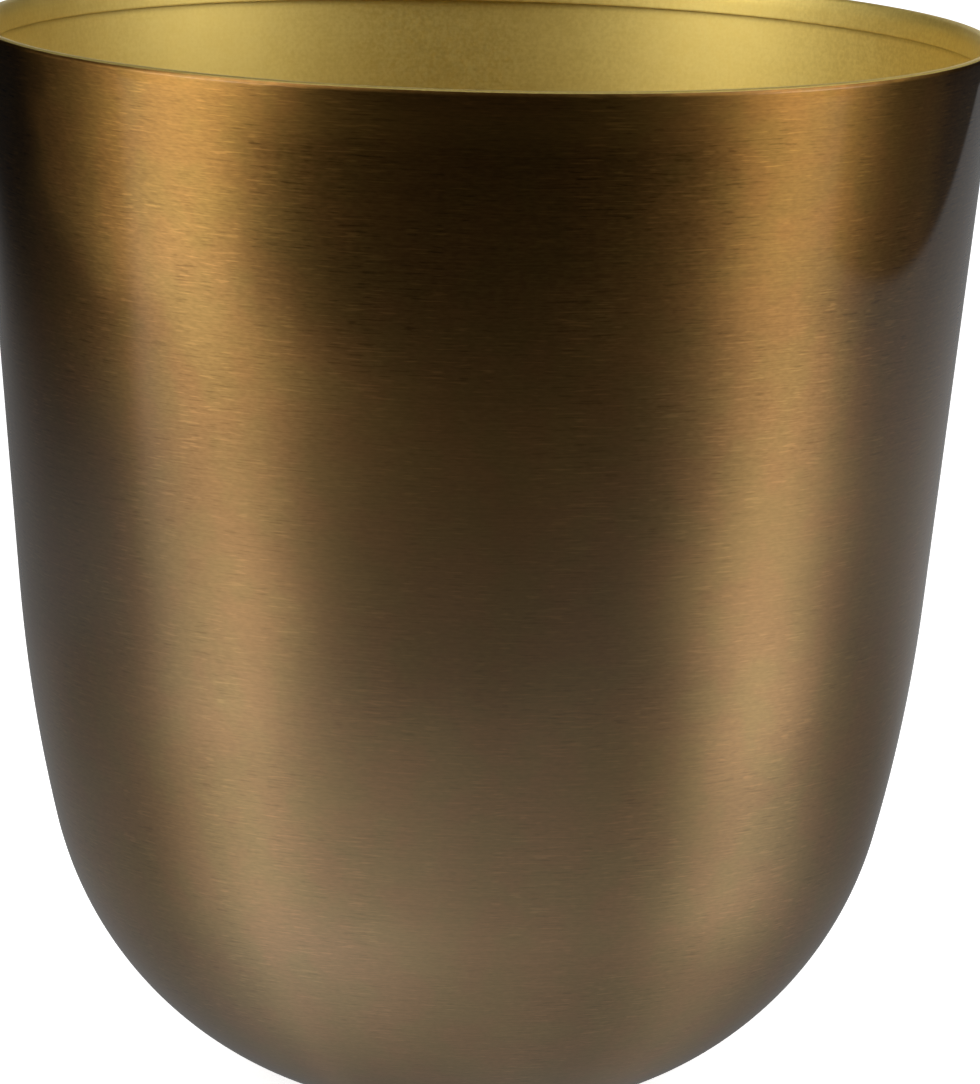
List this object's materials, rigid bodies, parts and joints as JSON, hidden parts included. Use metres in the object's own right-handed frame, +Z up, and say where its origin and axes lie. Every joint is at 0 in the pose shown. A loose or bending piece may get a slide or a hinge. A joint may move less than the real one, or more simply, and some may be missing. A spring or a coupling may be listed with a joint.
{
  "type": "flower pot",
  "caption": "Round-bottomed tapered cover pot of spun sheet metal with an inward-folded rim, brushed bronze outside and gold inside, on felt pads.",
  "frame": {"origin": "middle of the plane that the foot pads stand on, on the pot's axis", "axes": "+Z up along the pot's axis, out of its mouth"},
  "size_m": [0.19, 0.19, 0.1992],
  "materials": {
    "aged_bronze": "brushed round the pot and tinted brown under a clear gloss lacquer; satin champagne-gold paint inside",
    "brown_felt": "pressed wool felt"
  },
  "bodies": {
    "root": {"pot_shell": "aged_bronze", "foot_pad_1": "brown_felt", "foot_pad_2": "brown_felt", "foot_pad_3": "brown_felt", "foot_pad_4": "brown_felt"}
  },
  "joints": []
}
